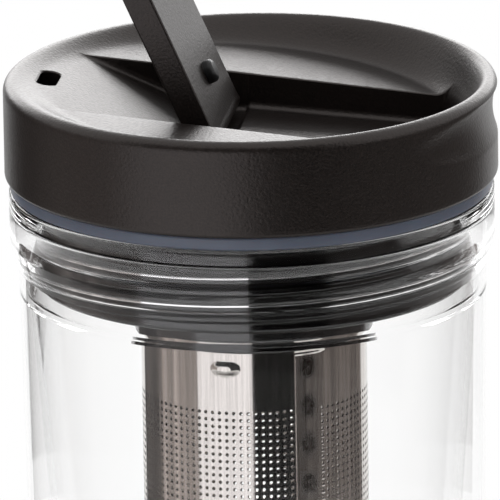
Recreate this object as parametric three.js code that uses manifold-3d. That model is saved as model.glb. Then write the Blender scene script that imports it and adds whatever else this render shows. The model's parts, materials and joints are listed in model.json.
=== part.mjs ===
// Tea infuser flask: a clear double-wall tumbler, a screw lid with a drinking slot and a flip lever,
// and a steel basket that hangs from the lid on a bayonet collar.
// Millimetres, +Z up, origin at the centre of the base. X runs along the channel in the lid:
// the drinking slot is at -X, and the lever folds open towards +X.
import * as THREE from "three";
import { mergeVertices } from "three/addons/utils/BufferGeometryUtils.js";
import Module from "manifold-3d";

const wasm = await Module();
wasm.setup();
const degrees = THREE.MathUtils.degToRad;

// Fits
const pieceGap = 0.3; // between neighbouring pieces
const turnGap = 0.1; // round the lever's pin
const cutOver = 1; // cutters run past the faces that they cut
const roundSteps = 40; // facets round a turned piece

// Tumbler
const tumblerHeight = 172;
const shellWall = 1.45;
const shellFloor = 2.4;
const shellDraft = degrees(0.85);
const footRound = 3;
const footWidth = 7;
const footRecess = 0.8;
const collarLip = 1.5; // mouth collar beyond the wall below it
const collarHeight = 5.5;
const collarTaper = 5;
const linerWall = 1.15;
const linerFloor = 2;
const linerFlange = 3.1;
const linerDraft = degrees(3.8);
const linerRound = 5;
const neckStep = 1.3; // liner narrows below the thread
const neckLength = 2.5;
const floorSpace = 5.6; // air under the liner

// Lid
const lidLip = 0.7; // lid beyond the mouth collar
const rimWidth = 3.5;
const rimRound = 2;
const hemRound = 0.7;
const capWall = 2.5;
const deckWall = 1.5;
const plateSlope = degrees(5.4);
const plateDrop = 0.92; // plates below the rim on the drinking side
const floorSlope = degrees(4);
const floorDrop = 8.07; // channel's floor below the rim, carried on to the drinking side
const channelWidth = 34.4;
const rampAngle = degrees(22);
const slotInset = 4.5; // slot centre in from the rim's inner edge
const slotDrop = 1.1;
const slotWidth = 4.6;
const slotLength = 9.6;
const gripDepth = 0.9; // finger groove under the rim on the +X side
const gripHeight = 5;
const gripDrop = 4.8;
const gripSweep = 46;
const sealHeight = 2.4;
const sealInset = 0.2;
const plugRadius = 36.7;
const plugWall = 2.2;
const plugDepth = 18.7;
const plugFlange = 1.6;
const plugChamfer = 0.8;
const webWall = 2;
const windowRim = 1.2;
const windowArc = degrees(56);
const windowCount = 4;

// Thread
const threadDepth = 0.9;
const threadPitch = 4.5;
const threadTurns = 2;
const threadRoot = 2; // axial width of a ridge at its root
const threadCrest = 0.8;
const threadPlay = 0.4;
const threadRise = 2; // plug's lower edge to the ridge's first centre
const threadRunOut = 0.08; // share of the length at each end where a ridge runs out
const threadStub = 0.2; // share of the depth left at a ridge's end
const threadSteps = 64;

// Lever
const pivotOffset = 6.5;
const leverThickness = 4.8;
const leverSideGap = 3.2;
const leverTipInset = 1.7; // tip inside the lid's edge when closed
const leverCorner = 9;
const leverEdge = 1.2;
const leverLean = degrees(24); // from upright, towards the drinking slot
const pinRadius = 1;
const pinSeat = 3.2;
const bossWall = 1.5;
const pocketBack = 4.5;
const pocketFront = 4.4;
const heelSwell = 0.8; // heel beyond the blade's faces
const studAlong = 7.9;
const studRadius = 2.1;
const studHead = 1.4;
const studDome = 0.6;
const studShank = 1.2;
const studPlay = 0.6;
const socketFloor = 1.8; // lever left under a socket
const stopperMargin = 1.8;
const stopperPlay = 0.6;
const stopperNose = 2.4;
const stopperShank = 1.8;

// Basket
const basketRadius = 19.6;
const basketWall = 0.5;
const basketClearance = 18.4; // above the liner's floor
const basketPan = 4;
const collarWall = 0.7;
const collarDrop = 9.3; // below the plug
const collarGrip = 9;
const collarShoulder = 2;
const lugReach = 1.3;
const lugHeight = 2;
const lugArc = degrees(22);
const lugTwist = degrees(40);
const lugCount = 2;
const ledgeHeight = 4;
const socketRoof = 2;
const socketWall = 1.6;
const bumpWidth = 5.2;
const bumpHeight = 2.7;
const bumpReach = 0.9;
const bumpDrop = 2.4;
const bumpAngle = degrees(-97);
const bumpCount = 2;
const lapWidth = 4.6;
const lapStep = 0.4;
const lapAngle = degrees(-55);

// Radii follow from the plug outwards.
const boreRadius = plugRadius + threadDepth + pieceGap;
const linerMouth = boreRadius + linerWall;
const shellBore = linerMouth + pieceGap;
const waistRadius = shellBore + shellWall;
const collarRadius = waistRadius + collarLip;
const lidRadius = collarRadius + lidLip;
const bowlRadius = lidRadius - rimWidth;
const capBore = lidRadius - capWall;

// The lid's own frame has its origin at the centre of the rim's top. A depth is measured down from there.
const plateDepth = (x) => plateDrop + Math.tan(plateSlope) * (x + bowlRadius);
const floorDepth = (x) => floorDrop + Math.tan(floorSlope) * (x + bowlRadius);
const lidHeight = floorDepth(bowlRadius) + deckWall + pieceGap + plugFlange;
const lidTop = tumblerHeight + sealHeight + lidHeight;
const plugBottom = -lidHeight - plugDepth;
const slotX = slotInset - bowlRadius;
const rampDepth = (x) => slotDrop + Math.tan(rampAngle) * (x - slotX);
const rampTop = slotX - slotDrop / Math.tan(rampAngle);

// The lever turns about Y at the pivot. At angle 0 it points straight up.
const leverHalf = leverThickness / 2;
const heelRadius = leverHalf + heelSwell;
const pivotX = -pivotOffset;
const pivotDepth = floorDepth(pivotX) - (leverHalf + pieceGap) / Math.cos(floorSlope);
const leverLength = (lidRadius - leverTipInset + pivotX) / Math.cos(rampAngle);
const leverWidth = channelWidth - 2 * leverSideGap;
const closedAngle = rampAngle - Math.PI / 2;
const openAngle = Math.PI / 2 + floorSlope;
const rampStandoff = (rampDepth(pivotX) - pivotDepth) * Math.cos(rampAngle) - leverHalf;
const stopperAlong =
  (pivotX - slotX) * Math.cos(rampAngle) + (pivotDepth - slotDrop) * Math.sin(rampAngle);
const studReach = pieceGap + studHead;

// Basket heights, in the lid's frame
const collarOuter = basketRadius + pieceGap + collarWall;
const collarBottom = plugBottom - collarDrop;
const basketTop = collarBottom + collarGrip;
const basketBottom = shellFloor + floorSpace + linerFloor + basketClearance - lidTop;
const lugBottom = plugBottom + ledgeHeight + pieceGap;
const socketBore = collarOuter + pieceGap;
const grooveRadius = collarOuter + lugReach + pieceGap;
const socketOuter = grooveRadius + socketWall;
const grooveTop = lugBottom + lugHeight + pieceGap;
const threadMiddle = (threadRoot + threadCrest) / 2;

// A closed geometry as a solid that can be joined and cut
function solidOf(geometry) {
  const bare = geometry.clone();
  bare.deleteAttribute("normal");
  bare.deleteAttribute("uv");
  const merged = mergeVertices(bare);
  const corners = merged.index.array;
  const triangles = [];
  for (let i = 0; i < corners.length; i += 3) {
    const [a, b, c] = [corners[i], corners[i + 1], corners[i + 2]];
    if (a !== b && b !== c && c !== a) triangles.push(a, b, c);
  }
  const vertProperties = new Float32Array(merged.attributes.position.array);
  const triVerts = new Uint32Array(triangles);
  return new wasm.Manifold(new wasm.Mesh({ numProp: 3, vertProperties, triVerts }));
}

function geometryOf(solid) {
  const { vertProperties, triVerts } = solid.getMesh();
  const geometry = new THREE.BufferGeometry();
  geometry.setAttribute("position", new THREE.BufferAttribute(vertProperties, 3));
  geometry.setIndex(new THREE.BufferAttribute(triVerts, 1));
  geometry.computeVertexNormals();
  return geometry;
}

// A solid turned about Z. Its outline is [radius, z] points, up the outside and down the inside.
function turned(outline) {
  const points = outline.map(([radius, z]) => new THREE.Vector2(radius, z));
  return solidOf(new THREE.LatheGeometry(points, roundSteps).rotateX(Math.PI / 2));
}

const ring = (outline) => turned([...outline, outline[0]]);

function arc(centreX, centreY, radius, from, to, steps = 4) {
  const points = [];
  for (let i = 0; i <= steps; i++) {
    const angle = degrees(from + ((to - from) * i) / steps);
    points.push([centreX + radius * Math.cos(angle), centreY + radius * Math.sin(angle)]);
  }
  return points;
}

const shapeOf = (outline) => new THREE.Shape(outline.map(([x, y]) => new THREE.Vector2(x, y)));

// An outline in X and Y, raised from z = low to z = high
function raised(outline, low, high) {
  const options = { depth: high - low, bevelEnabled: false };
  return new THREE.ExtrudeGeometry(shapeOf(outline), options).translate(0, 0, low);
}

// An outline in X and Z, drawn out along Y by the same width to each side
function acrossY(outline, width) {
  const options = { depth: width, bevelEnabled: false };
  const geometry = new THREE.ExtrudeGeometry(shapeOf(outline), options);
  return solidOf(geometry.rotateX(Math.PI / 2).translate(0, width / 2, 0));
}

// A slot outline with half-round ends, long in Y
function slotOutline(width, length) {
  const radius = width / 2;
  const reach = length / 2 - radius;
  return [...arc(0, reach, radius, 0, 180, 8), ...arc(0, -reach, radius, 180, 360, 8)];
}

function sectorOutline(inner, outer, middle, spread) {
  const from = THREE.MathUtils.radToDeg(middle - spread / 2);
  const to = THREE.MathUtils.radToDeg(middle + spread / 2);
  return [...arc(0, 0, outer, from, to, 8), ...arc(0, 0, inner, to, from, 8)];
}

const sector = (inner, outer, middle, spread, low, high) =>
  solidOf(raised(sectorOutline(inner, outer, middle, spread), low, high));

const rodAlongY = (radius, length, steps = 20) =>
  new THREE.CylinderGeometry(radius, radius, length, steps);

// A round block whose top and bottom heights may depend on x
function slantedDisc(radius, bottomAt, topAt) {
  const geometry = new THREE.CylinderGeometry(radius, radius, 2, roundSteps).rotateX(Math.PI / 2);
  const position = geometry.attributes.position;
  for (let i = 0; i < position.count; i++) {
    const heightAt = position.getZ(i) > 0 ? topAt : bottomAt;
    position.setZ(i, heightAt(position.getX(i)));
  }
  return solidOf(geometry);
}

// A right-hand helical ridge on a wall. It stands outwards (+1) or inwards (-1), and both ends run out.
function threadRidge(wallRadius, side, firstCentre) {
  const root = threadRoot / 2;
  const crest = threadCrest / 2;
  const sunk = -threadDepth / 2;
  const lowerHalf = [[sunk, -root], [0, -root], [threadDepth, -crest]];
  const upperHalf = [[threadDepth, crest], [0, root], [sunk, root]];
  const options = { depth: 1, steps: threadSteps, bevelEnabled: false };
  const geometry = new THREE.ExtrudeGeometry(shapeOf([...lowerHalf, ...upperHalf]), options);
  const position = geometry.attributes.position;
  for (let i = 0; i < position.count; i++) {
    const share = side > 0 ? 1 - position.getZ(i) : position.getZ(i);
    const toEnd = Math.min(share, 1 - share);
    const fade = Math.min(1, threadStub + toEnd / threadRunOut);
    const height = position.getX(i) > 0 ? position.getX(i) * fade : position.getX(i);
    const radius = wallRadius + side * height;
    const angle = share * threadTurns * 2 * Math.PI;
    const z = firstCentre + position.getY(i) + share * threadTurns * threadPitch;
    position.setXYZ(i, radius * Math.cos(angle), radius * Math.sin(angle), z);
  }
  return solidOf(geometry);
}

const evenly = (count) => Array.from({ length: count }, (_, i) => (i * 2 * Math.PI) / count);

// Puts a geometry that is drawn on the upright lever where it lies when the lever is turned to an angle.
function onLever(geometry, angle) {
  return solidOf(geometry.rotateY(angle).translate(pivotX, 0, -pivotDepth));
}

function outerShell() {
  const top = tumblerHeight - linerFlange;
  const collarFoot = top - collarHeight;
  const waist = collarFoot - collarTaper;
  const footRadius = waistRadius - Math.tan(shellDraft) * waist;
  const innerFoot = footRadius - shellWall;
  const ringInner = footRadius - footRound - footWidth;
  return turned([
    [0, footRecess],
    [ringInner, footRecess],
    [ringInner + footRecess, 0],
    ...arc(footRadius - footRound, footRound, footRound, -90, 0),
    [waistRadius, waist],
    [collarRadius, collarFoot],
    [collarRadius, top],
    [shellBore, top],
    [shellBore, waist],
    ...arc(innerFoot - footRound, shellFloor + footRound, footRound, 0, -90),
    [0, shellFloor],
  ]);
}

function innerLiner() {
  const seat = tumblerHeight - linerFlange;
  const neckTop = lidTop + plugBottom - pieceGap - plugChamfer;
  const neckFoot = neckTop - neckLength;
  const bottom = shellFloor + floorSpace;
  const neckRadius = linerMouth - neckStep;
  const footRadius = neckRadius - Math.tan(linerDraft) * (neckFoot - bottom);
  const innerRound = linerRound - linerWall;
  const body = turned([
    [0, bottom],
    ...arc(footRadius - linerRound, bottom + linerRound, linerRound, -90, 0),
    [neckRadius, neckFoot],
    [linerMouth, neckTop],
    [linerMouth, seat],
    [collarRadius, seat],
    [collarRadius, tumblerHeight],
    [boreRadius, tumblerHeight],
    [boreRadius, neckTop],
    [neckRadius - linerWall, neckFoot],
    ...arc(footRadius - linerWall - innerRound, bottom + linerFloor + innerRound, innerRound, 0, -90),
    [0, bottom + linerFloor],
  ]);
  const plugRidge = lidTop + plugBottom + threadRise;
  return body.add(threadRidge(boreRadius, -1, plugRidge + threadMiddle + threadPlay));
}

function lidSeal() {
  const bottom = -lidHeight - sealHeight;
  const inner = plugRadius + pieceGap;
  const outer = collarRadius - sealInset;
  return ring([[inner, bottom], [outer, bottom], [outer, -lidHeight], [inner, -lidHeight]]);
}

function lidCap() {
  const halfChannel = channelWidth / 2;
  const above = rimRound + gripHeight;
  const pocketLeft = pivotX - pocketBack;
  const pocketRight = pivotX + pocketFront;
  const pocketDepth = pivotDepth + heelRadius + pieceGap;

  const block = turned([
    [0, -lidHeight],
    ...arc(lidRadius - hemRound, hemRound - lidHeight, hemRound, -90, 0),
    ...arc(lidRadius - rimRound, -rimRound, rimRound, 0, 90),
    [0, 0],
  ]);

  // Channel: floor, pocket for the lever's heel, and the ramp up to the drinking slot
  const channelOutline = [
    [lidRadius, -floorDepth(lidRadius)],
    [lidRadius, above],
    [rampTop, above],
    [rampTop, 0],
    [pocketLeft, -rampDepth(pocketLeft)],
    [pocketLeft, -pocketDepth],
    [pocketRight, -pocketDepth],
    [pocketRight, -floorDepth(pocketRight)],
  ];
  const bowlColumn = slantedDisc(bowlRadius, () => -lidHeight, () => above);
  const channel = acrossY(channelOutline, channelWidth).intersect(bowlColumn);
  const slabTop = above + cutOver;
  const slabOutline = [
    [-lidRadius, -lidHeight],
    [lidRadius, -lidHeight],
    [lidRadius, slabTop],
    [-lidRadius, slabTop],
  ];
  const slab = acrossY(slabOutline, channelWidth);
  const bowl = slantedDisc(bowlRadius, (x) => -plateDepth(x), () => above).subtract(slab);

  // Hollow underside, one deck wall below the plates and the channel
  const slantWall = deckWall / Math.cos(rampAngle);
  const trayOutline = [
    [lidRadius, -floorDepth(lidRadius) - deckWall],
    [lidRadius, above],
    [-lidRadius, above],
    [-lidRadius, -slantWall],
    [rampTop, -slantWall],
    [pocketLeft, -rampDepth(pocketLeft) - slantWall],
    [pocketLeft, -pocketDepth - deckWall],
    [pocketRight + deckWall, -pocketDepth - deckWall],
    [pocketRight + deckWall, -floorDepth(pocketRight + deckWall) - deckWall],
  ];
  const tray = acrossY(trayOutline, channelWidth + 2 * deckWall);
  const underside = slantedDisc(capBore, () => -lidHeight - cutOver, (x) => -plateDepth(x) - deckWall);
  let cap = block.subtract(underside.subtract(tray)).subtract(bowl).subtract(channel);

  // Bosses for the lever's pin, outside the channel's walls
  const bossEnd = halfChannel + pinSeat + bossWall;
  const bossStart = halfChannel + deckWall / 2;
  for (const side of [-1, 1]) {
    const boss = rodAlongY(pinRadius + bossWall, bossEnd - bossStart);
    boss.translate(pivotX, (side * (bossEnd + bossStart)) / 2, -pivotDepth);
    cap = cap.add(solidOf(boss));
  }
  const pinHole = rodAlongY(pinRadius + turnGap, channelWidth + 2 * (pinSeat + pieceGap));
  cap = cap.subtract(solidOf(pinHole.translate(pivotX, 0, -pivotDepth)));

  // Dimple for the stud, in a cup under the floor
  const floorFace = leverHalf + pieceGap;
  const dimpleEnd = leverHalf + studReach + pieceGap;
  const cupEnd = dimpleEnd + deckWall;
  const cupStart = floorFace + deckWall / 2;
  const cup = rodAlongY(studRadius + studPlay + deckWall, cupEnd - cupStart).rotateZ(Math.PI / 2);
  cup.translate((cupStart + cupEnd) / 2, 0, studAlong);
  const dimple = rodAlongY(studRadius + studPlay, dimpleEnd - leverHalf).rotateZ(Math.PI / 2);
  dimple.translate((leverHalf + dimpleEnd) / 2, 0, studAlong);
  cap = cap.add(onLever(cup, openAngle)).subtract(onLever(dimple, openAngle));

  // Drinking slot, square to the ramp
  const slotFace = leverHalf + rampStandoff;
  const slot = raised(slotOutline(slotWidth, slotLength), slotFace - slotWidth, slotFace + 2 * deckWall);
  slot.rotateY(-Math.PI / 2).translate(0, 0, stopperAlong);
  cap = cap.subtract(onLever(slot, closedAngle));

  // Finger groove: a wide ring whose inner side just enters the wall at +X
  const tube = (gripHeight ** 2 / 4 + gripDepth ** 2) / (2 * gripDepth);
  const groove = new THREE.TorusGeometry(gripSweep + tube, tube, 16, 2 * roundSteps);
  groove.translate(lidRadius - gripDepth - gripSweep, 0, -gripDrop);
  return cap.subtract(solidOf(groove));
}

function lidPlug() {
  const flangeTop = plugFlange - lidHeight;
  const inner = plugRadius - plugWall;
  const webTop = plugBottom + webWall;
  const ledgeTop = plugBottom + ledgeHeight;
  let plug = ring([
    [socketBore, plugBottom],
    [plugRadius - plugChamfer, plugBottom],
    [plugRadius, plugBottom + plugChamfer],
    [plugRadius, -lidHeight],
    [capBore - pieceGap, -lidHeight],
    [capBore - pieceGap, flangeTop],
    [inner, flangeTop],
    [inner, webTop],
    [socketOuter, webTop],
    [socketOuter, grooveTop + socketRoof],
    [socketBore, grooveTop + socketRoof],
    [socketBore, grooveTop],
    [grooveRadius, grooveTop],
    [grooveRadius, ledgeTop],
    [socketBore, ledgeTop],
  ]);
  plug = plug.add(threadRidge(plugRadius, 1, plugBottom + threadRise));
  for (const angle of evenly(windowCount)) {
    const window = sector(
      socketOuter + windowRim, inner - windowRim, angle, windowArc, plugBottom - cutOver, webTop + cutOver,
    );
    plug = plug.subtract(window);
  }
  // Entry slots in the ledge, where the collar's lugs pass once the basket is twisted
  const entryArc = lugArc + (4 * pieceGap) / collarOuter;
  for (const angle of evenly(lugCount)) {
    const middle = angle + lugTwist;
    const entry = sector(
      collarOuter, grooveRadius, middle, entryArc, plugBottom - cutOver, ledgeTop + pieceGap,
    );
    plug = plug.subtract(entry);
  }
  return plug;
}

function leverBlade() {
  const side = acrossY(
    [
      ...arc(0, 0, leverHalf, 180, 360, 12),
      ...arc(leverHalf - leverEdge, leverLength - leverEdge, leverEdge, 0, 90),
      ...arc(leverEdge - leverHalf, leverLength - leverEdge, leverEdge, 90, 180),
    ],
    leverWidth,
  );
  // Seen square on, the tip's corners are round.
  const halfWidth = leverWidth / 2;
  const planOutline = [
    [-halfWidth, -leverThickness],
    [halfWidth, -leverThickness],
    ...arc(halfWidth - leverCorner, leverLength - leverCorner, leverCorner, 0, 90, 8),
    ...arc(leverCorner - halfWidth, leverLength - leverCorner, leverCorner, 90, 180, 8),
  ];
  const plan = raised(planOutline, -leverThickness, leverThickness);
  plan.rotateX(Math.PI / 2).rotateZ(Math.PI / 2);

  const pinBore = rodAlongY(pinRadius + turnGap, leverWidth + 2 * leverSideGap);
  const studEnd = socketFloor - leverHalf - pieceGap;
  const studHole = rodAlongY(studShank + turnGap, leverThickness - studEnd).rotateZ(Math.PI / 2);
  studHole.translate((leverThickness + studEnd) / 2, 0, studAlong);
  const stopperEnd = leverHalf - socketFloor + pieceGap;
  const stopperHole = rodAlongY(stopperShank + turnGap, leverThickness + stopperEnd).rotateZ(Math.PI / 2);
  stopperHole.translate((stopperEnd - leverThickness) / 2, 0, stopperAlong);
  return side
    .intersect(solidOf(plan))
    .add(solidOf(rodAlongY(heelRadius, leverWidth)))
    .subtract(solidOf(pinBore))
    .subtract(solidOf(studHole))
    .subtract(solidOf(stopperHole));
}

function keeperStud() {
  const face = leverHalf + pieceGap;
  const outline = [
    [0, socketFloor - leverHalf],
    [studShank, socketFloor - leverHalf],
    [studShank, face],
    [studRadius, face],
    ...arc(studRadius - studDome, face + studHead - studDome, studDome, 0, 90),
    [0, face + studHead],
  ];
  const points = outline.map(([radius, z]) => new THREE.Vector2(radius, z));
  const stud = new THREE.LatheGeometry(points, 20).rotateX(Math.PI / 2).rotateY(Math.PI / 2);
  return solidOf(stud.translate(0, 0, studAlong));
}

function sipStopper() {
  const face = leverHalf + pieceGap;
  const flangeEnd = leverHalf + rampStandoff - pieceGap;
  const flange = raised(
    slotOutline(slotWidth + 2 * stopperMargin, slotLength + 2 * stopperMargin), face, flangeEnd,
  );
  const nose = raised(
    slotOutline(slotWidth - 2 * stopperPlay, slotLength - 2 * stopperPlay), face, flangeEnd + stopperNose,
  );
  const shankStart = socketFloor - leverHalf;
  const shank = rodAlongY(stopperShank, face - shankStart + pieceGap).rotateX(Math.PI / 2);
  shank.translate(0, 0, (face + shankStart + pieceGap) / 2);
  const place = (geometry) => solidOf(geometry.rotateY(-Math.PI / 2).translate(0, 0, stopperAlong));
  return place(flange).add(place(nose)).add(place(shank));
}

function leverPin() {
  return solidOf(rodAlongY(pinRadius, channelWidth + 2 * pinSeat));
}

function basketCollar() {
  const steelBore = basketRadius + pieceGap;
  const shoulder = basketTop + pieceGap;
  const top = grooveTop + socketRoof;
  const mouth = basketRadius - collarShoulder;
  let collar = ring([
    [steelBore, collarBottom],
    [collarOuter, collarBottom],
    [collarOuter, top],
    [mouth, top],
    [mouth, shoulder],
    [steelBore, shoulder],
  ]);
  for (const angle of evenly(lugCount)) {
    const lug = sector(
      mouth + collarWall, collarOuter + lugReach, angle, lugArc, lugBottom, lugBottom + lugHeight,
    );
    collar = collar.add(lug);
  }
  return collar;
}

// Rolled sheet with a lap seam, and oval bumps pressed out of it under the collar
function basketTube() {
  const inner = basketRadius - basketWall;
  const column = (radius, low, high) => turned([[0, low], [radius, low], [radius, high], [0, high]]);
  let tube = column(basketRadius, basketBottom, basketTop);
  for (const angle of evenly(bumpCount)) {
    const bump = new THREE.SphereGeometry(1, 16, 8).scale(bumpReach, bumpWidth / 2, bumpHeight / 2);
    bump.translate(basketRadius, 0, collarBottom - bumpDrop).rotateZ(bumpAngle + angle);
    tube = tube.add(solidOf(bump));
  }
  const lapSpread = lapWidth / basketRadius;
  const lapTop = collarBottom - pieceGap;
  tube = tube.add(
    sector(inner + basketWall / 2, basketRadius + lapStep, lapAngle, lapSpread, basketBottom, lapTop),
  );
  return tube.subtract(column(inner, basketBottom - cutOver, basketTop + cutOver));
}

function basketBase() {
  const outer = basketRadius - basketWall - pieceGap;
  const inner = outer - basketWall;
  return turned([
    [0, basketBottom],
    [outer, basketBottom],
    [outer, basketBottom + basketPan],
    [inner, basketBottom + basketPan],
    [inner, basketBottom + basketWall],
    [0, basketBottom + basketWall],
  ]);
}

const clearPlastic = { color: 0xf1f4f5, roughness: 0.05, metalness: 0, transparent: true, opacity: 0.25 };
const blackPlastic = { color: 0x1b1a1b, roughness: 0.55, metalness: 0 };
const softBlack = { color: 0x202022, roughness: 0.7, metalness: 0 };
const greySilicone = { color: 0x5c6270, roughness: 0.4, metalness: 0 };
const steel = { color: 0xc4c2bf, roughness: 0.22, metalness: 1 };

function piece(name, solid, look) {
  const mesh = new THREE.Mesh(geometryOf(solid), new THREE.MeshStandardMaterial(look));
  mesh.name = name;
  return mesh;
}

const tumbler = new THREE.Group();
tumbler.add(piece("outer_shell", outerShell(), clearPlastic));
tumbler.add(piece("inner_liner", innerLiner(), clearPlastic));

const lever = new THREE.Group();
lever.add(piece("lever", leverBlade(), blackPlastic));
lever.add(piece("keeper_stud", keeperStud(), softBlack));
lever.add(piece("sip_stopper", sipStopper(), softBlack));
lever.add(piece("lever_pin", leverPin(), steel));
lever.position.set(pivotX, 0, -pivotDepth);
lever.rotation.y = -leverLean;

const basket = new THREE.Group();
basket.add(piece("basket_collar", basketCollar(), blackPlastic));
basket.add(piece("basket_wall", basketTube(), steel));
basket.add(piece("basket_base", basketBase(), steel));

const lid = new THREE.Group();
lid.add(piece("lid_seal", lidSeal(), greySilicone));
lid.add(piece("lid_cap", lidCap(), blackPlastic));
lid.add(piece("lid_plug", lidPlug(), blackPlastic));
lid.add(lever, basket);
lid.position.z = lidTop;

const flask = new THREE.Group();
flask.add(tumbler, lid);
export default flask;
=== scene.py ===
import json
import math

import bmesh
import bpy
from mathutils import Matrix, Vector


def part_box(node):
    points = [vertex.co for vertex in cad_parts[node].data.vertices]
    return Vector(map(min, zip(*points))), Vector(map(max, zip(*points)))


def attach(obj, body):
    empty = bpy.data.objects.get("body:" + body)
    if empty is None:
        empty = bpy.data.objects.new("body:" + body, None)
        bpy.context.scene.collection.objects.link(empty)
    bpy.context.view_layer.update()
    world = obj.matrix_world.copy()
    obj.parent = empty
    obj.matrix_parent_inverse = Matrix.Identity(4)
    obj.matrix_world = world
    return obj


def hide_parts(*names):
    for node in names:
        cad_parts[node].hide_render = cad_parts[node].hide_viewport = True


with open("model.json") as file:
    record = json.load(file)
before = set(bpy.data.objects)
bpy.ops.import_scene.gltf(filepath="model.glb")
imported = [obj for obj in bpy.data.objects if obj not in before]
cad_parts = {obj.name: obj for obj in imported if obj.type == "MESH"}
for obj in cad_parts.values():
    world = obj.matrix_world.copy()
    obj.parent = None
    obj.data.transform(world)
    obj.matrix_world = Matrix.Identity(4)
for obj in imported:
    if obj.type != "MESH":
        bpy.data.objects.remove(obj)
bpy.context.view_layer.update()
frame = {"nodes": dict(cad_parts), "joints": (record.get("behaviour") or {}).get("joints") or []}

mm = 0.001
fullTurn = 2 * math.pi
aroundAxis = {"cent": (0, 0, 0), "axis": (0, 0, 1)}
edgeAngle = math.radians(35)  # a bend past this is shaded as an edge
sharpBend = 0.6  # and one past this, in radians, is bevelled
fitGap = 0.3  # mm between pieces that seat on each other
mergeGap = 0.0005
onWall = 0.02  # how near to a wall its own vertices lie, in mm
roundSteps = 40
print("frame loaded")


def boxMm(node):
    low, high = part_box(node)
    return low / mm, high / mm


def linear(hexText):
    channels = [int(hexText[i:i + 2], 16) / 255 for i in (1, 3, 5)]
    return [c / 12.92 if c <= 0.04045 else ((c + 0.055) / 1.055) ** 2.4 for c in channels] + [1]


def smooth(start, end, value):
    share = min(1, max(0, (value - start) / (end - start)))
    return share * share * (3 - 2 * share)


def softMin(a, b, width):
    near = max(width - abs(a - b), 0) / width
    return min(a, b) - near * near * width / 4


# corners are (radius, height, fillet) in mm, and each fillet is drawn as an arc
def roundedOutline(corners, arcSteps=5):
    points = []
    for i, (radius, height, fillet) in enumerate(corners):
        corner = Vector((radius, height))
        if fillet == 0:
            points.append(corner)
            continue
        before = Vector(corners[i - 1][:2]) - corner
        after = Vector(corners[(i + 1) % len(corners)][:2]) - corner
        half = before.angle(after) / 2
        toBefore, toAfter = before.normalized(), after.normalized()
        centre = corner + (toBefore + toAfter).normalized() * fillet / math.sin(half)
        first = corner + toBefore * fillet / math.tan(half) - centre
        last = corner + toAfter * fillet / math.tan(half) - centre
        turns = [first.slerp(last, k / arcSteps).normalized() for k in range(arcSteps + 1)]
        points += [centre + turn * fillet for turn in turns]
    return points


def spun(outline, steps, closed=True):
    bm = bmesh.new()
    verts = [bm.verts.new((p[0], 0, p[1])) for p in outline]
    edges = [bm.edges.new(pair) for pair in zip(verts, verts[1:])]
    if closed:
        edges.append(bm.edges.new((verts[-1], verts[0])))
    bmesh.ops.spin(bm, geom=verts + edges, angle=fullTurn, steps=steps, use_merge=True, **aroundAxis)
    bmesh.ops.remove_doubles(bm, verts=bm.verts, dist=mergeGap)
    bmesh.ops.recalc_face_normals(bm, faces=bm.faces)
    return bm


def bevelEdges(bm, edges, offset, segments):
    bmesh.ops.bevel(
        bm, geom=edges, offset=offset, affect="EDGES", segments=segments, profile=0.5, material=-1
    )


def newObject(name, bm, creaseAngle=edgeAngle):
    bmesh.ops.scale(bm, vec=(mm, mm, mm), verts=bm.verts)
    mesh = bpy.data.meshes.new(name)
    bm.to_mesh(mesh)
    bm.free()
    mesh.shade_smooth()
    mesh.set_sharp_from_angle(angle=creaseAngle)
    thing = bpy.data.objects.new(name, mesh)
    bpy.context.scene.collection.objects.link(thing)
    return thing


def addPiece(name, bm, body, nodes, material, creaseAngle=edgeAngle):
    piece = newObject(name, bm, creaseAngle)
    piece.data.materials.append(material)
    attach(piece, body)
    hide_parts(*nodes)
    print("piece", name, len(piece.data.polygons), "faces")
    return piece


# the piece keeps its own mesh with the modifiers worked in,
# so that sharp edges are found on the finished shape
def workIn(piece):
    graph = bpy.context.evaluated_depsgraph_get()
    mesh = bpy.data.meshes.new_from_object(piece.evaluated_get(graph))
    piece.modifiers.clear()
    piece.data = mesh
    mesh.set_sharp_from_angle(angle=edgeAngle)


# large faces set the shading beside their narrow rounded edges
def evenShading(piece):
    even = piece.modifiers.new("even shading", "WEIGHTED_NORMAL")
    even.mode = "FACE_AREA"
    even.keep_sharp = True


def cutAway(piece, cutters):
    for cutter in cutters:
        cut = piece.modifiers.new("cut", "BOOLEAN")
        cut.operation = "DIFFERENCE"
        cut.solver = "EXACT"
        cut.object = cutter
    workIn(piece)
    for cutter in cutters:
        bpy.data.objects.remove(cutter)


def addNode(tree, kind, inputs=None, **settings):
    node = tree.nodes.new("ShaderNode" + kind)
    for key, value in settings.items():
        setattr(node, key, value)
    for key, value in (inputs or {}).items():
        if isinstance(value, bpy.types.NodeSocket):
            tree.links.new(value, node.inputs[key])
        else:
            node.inputs[key].default_value = value
    return node


def startMaterial(name, **sockets):
    material = bpy.data.materials.new(name)
    material.use_nodes = True
    tree = material.node_tree
    shader = tree.nodes["Principled BSDF"]
    for key, value in sockets.items():
        shader.inputs[key.replace("_", " ")].default_value = value
    place = addNode(tree, "TexCoord").outputs["Object"]
    return material, tree, shader, place


# noise whose blots are about one size across
def grainScale(sizeMm):
    return 1 / (sizeMm * mm)


# Spark-eroded black polypropylene: an even grain that breaks up the gloss, greyer where light grazes it.
# The grain is drawn coarser than the real one, which is too fine to show.
blackPlastic = {
    "dark": "#0b0808",
    "light": "#1f1916",
    "mirror": "#fff4f0",
    "grain": 0.5,
    "speck": 0.32,
    "darkBelow": 0.3,
    "lightAbove": 0.7,
    "smoothest": 0.28,
    "roughest": 0.42,
    "depth": 0.06,
}


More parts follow.
